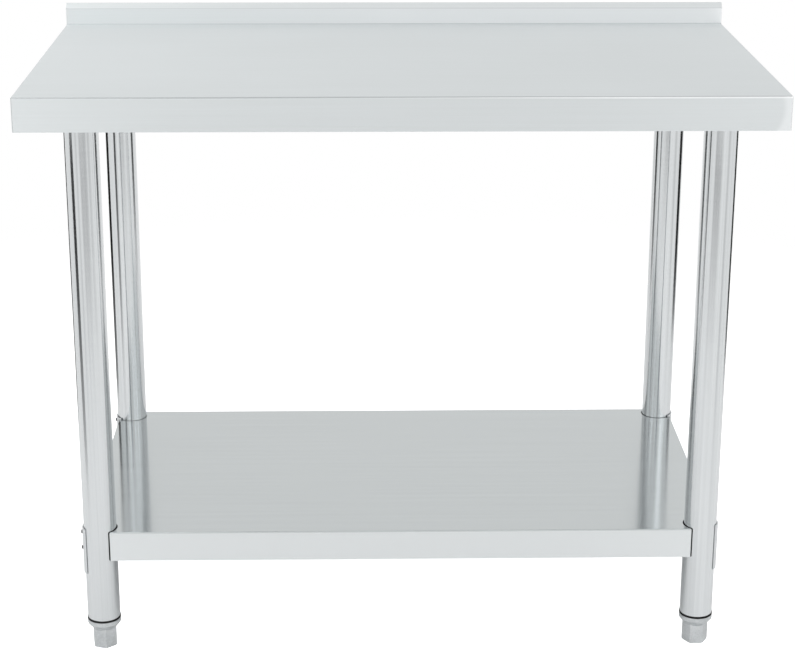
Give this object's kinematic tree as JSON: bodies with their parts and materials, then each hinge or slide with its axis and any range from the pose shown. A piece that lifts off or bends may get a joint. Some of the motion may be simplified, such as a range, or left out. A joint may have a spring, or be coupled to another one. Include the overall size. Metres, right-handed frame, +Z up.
{
  "type": "stainless work table",
  "caption": "Free-standing stainless work table with a rear upstand, round legs, a height-adjustable clamped undershelf and screw-adjustable feet.",
  "frame": {"origin": "on the floor under the middle of the table", "axes": "+X along the length, +Y towards the rear upstand, +Z up"},
  "size_m": [1.1, 0.6, 0.914],
  "materials": {
    "stainless_sheet": "brushed",
    "stainless_tube": "polished",
    "saddle_steel": "satin",
    "galvanised": "galvanised",
    "socket_steel": "zinc plated",
    "zinc_steel": "zinc plated",
    "black_steel": "black oxide",
    "foot_metal": "satin cast",
    "black_plastic": "moulded"
  },
  "bodies": {
    "frame": {"worktop": "stainless_sheet", "centre_channel": "galvanised", "upstand_end_cap_left": "stainless_sheet", "upstand_end_cap_right": "stainless_sheet", "cross_channel_left": "galvanised", "cross_channel_right": "galvanised", "socket_set_screws": "black_steel", "socket_plate_screws": "zinc_steel", "foot_insert_nuts": "zinc_steel", "leg_socket_front_left": "socket_steel", "leg_socket_front_right": "socket_steel", "leg_socket_rear_left": "socket_steel", "leg_socket_rear_right": "socket_steel", "leg_front_left": "stainless_tube", "leg_front_right": "stainless_tube", "leg_rear_left": "stainless_tube", "leg_rear_right": "stainless_tube", "foot_insert_front_left": "black_plastic", "foot_insert_front_right": "black_plastic", "foot_insert_rear_left": "black_plastic", "foot_insert_rear_right": "black_plastic"},
    "shelf": {"shelf_pan": "stainless_sheet", "shelf_channel": "galvanised", "saddle_set_screws": "black_steel", "shelf_saddle_front_left": "saddle_steel", "shelf_saddle_front_right": "saddle_steel", "shelf_saddle_rear_left": "saddle_steel", "shelf_saddle_rear_right": "saddle_steel"},
    "stud_front_left": {"foot_stud_front_left": "zinc_steel"},
    "foot_front_left": {"foot_front_left": "foot_metal"},
    "stud_front_right": {"foot_stud_front_right": "zinc_steel"},
    "foot_front_right": {"foot_front_right": "foot_metal"},
    "stud_rear_left": {"foot_stud_rear_left": "zinc_steel"},
    "foot_rear_left": {"foot_rear_left": "foot_metal"},
    "stud_rear_right": {"foot_stud_rear_right": "zinc_steel"},
    "foot_rear_right": {"foot_rear_right": "foot_metal"}
  },
  "joints": [
    {"name": "shelf_height", "type": "slide", "parent": "frame", "child": "shelf", "axis": [0, 0, 1], "range_m": [-0.06, 0.4]},
    {"name": "foot_travel_front_left", "type": "slide", "parent": "frame", "child": "stud_front_left", "axis": [0, 0, -1], "range_m": [0, 0.02451]},
    {"name": "foot_turn_front_left", "type": "hinge", "parent": "stud_front_left", "child": "foot_front_left", "pos_m": [-0.462, -0.238, 0.03], "axis": [0, 0, -1], "range_deg": [0, 5040]},
    {"name": "foot_travel_front_right", "type": "slide", "parent": "frame", "child": "stud_front_right", "axis": [0, 0, -1], "range_m": [0, 0.02451]},
    {"name": "foot_turn_front_right", "type": "hinge", "parent": "stud_front_right", "child": "foot_front_right", "pos_m": [0.462, -0.238, 0.03], "axis": [0, 0, -1], "range_deg": [0, 5040]},
    {"name": "foot_travel_rear_left", "type": "slide", "parent": "frame", "child": "stud_rear_left", "axis": [0, 0, -1], "range_m": [0, 0.02451]},
    {"name": "foot_turn_rear_left", "type": "hinge", "parent": "stud_rear_left", "child": "foot_rear_left", "pos_m": [-0.462, 0.238, 0.03], "axis": [0, 0, -1], "range_deg": [0, 5040]},
    {"name": "foot_travel_rear_right", "type": "slide", "parent": "frame", "child": "stud_rear_right", "axis": [0, 0, -1], "range_m": [0, 0.02451]},
    {"name": "foot_turn_rear_right", "type": "hinge", "parent": "stud_rear_right", "child": "foot_rear_right", "pos_m": [0.462, 0.238, 0.03], "axis": [0, 0, -1], "range_deg": [0, 5040]}
  ],
  "couplings": [
    {"joint": "foot_travel_front_left", "follows": "foot_turn_front_left", "m_per_rad": 0.00027852},
    {"joint": "foot_travel_front_right", "follows": "foot_turn_front_right", "m_per_rad": 0.00027852},
    {"joint": "foot_travel_rear_left", "follows": "foot_turn_rear_left", "m_per_rad": 0.00027852},
    {"joint": "foot_travel_rear_right", "follows": "foot_turn_rear_right", "m_per_rad": 0.00027852}
  ]
}
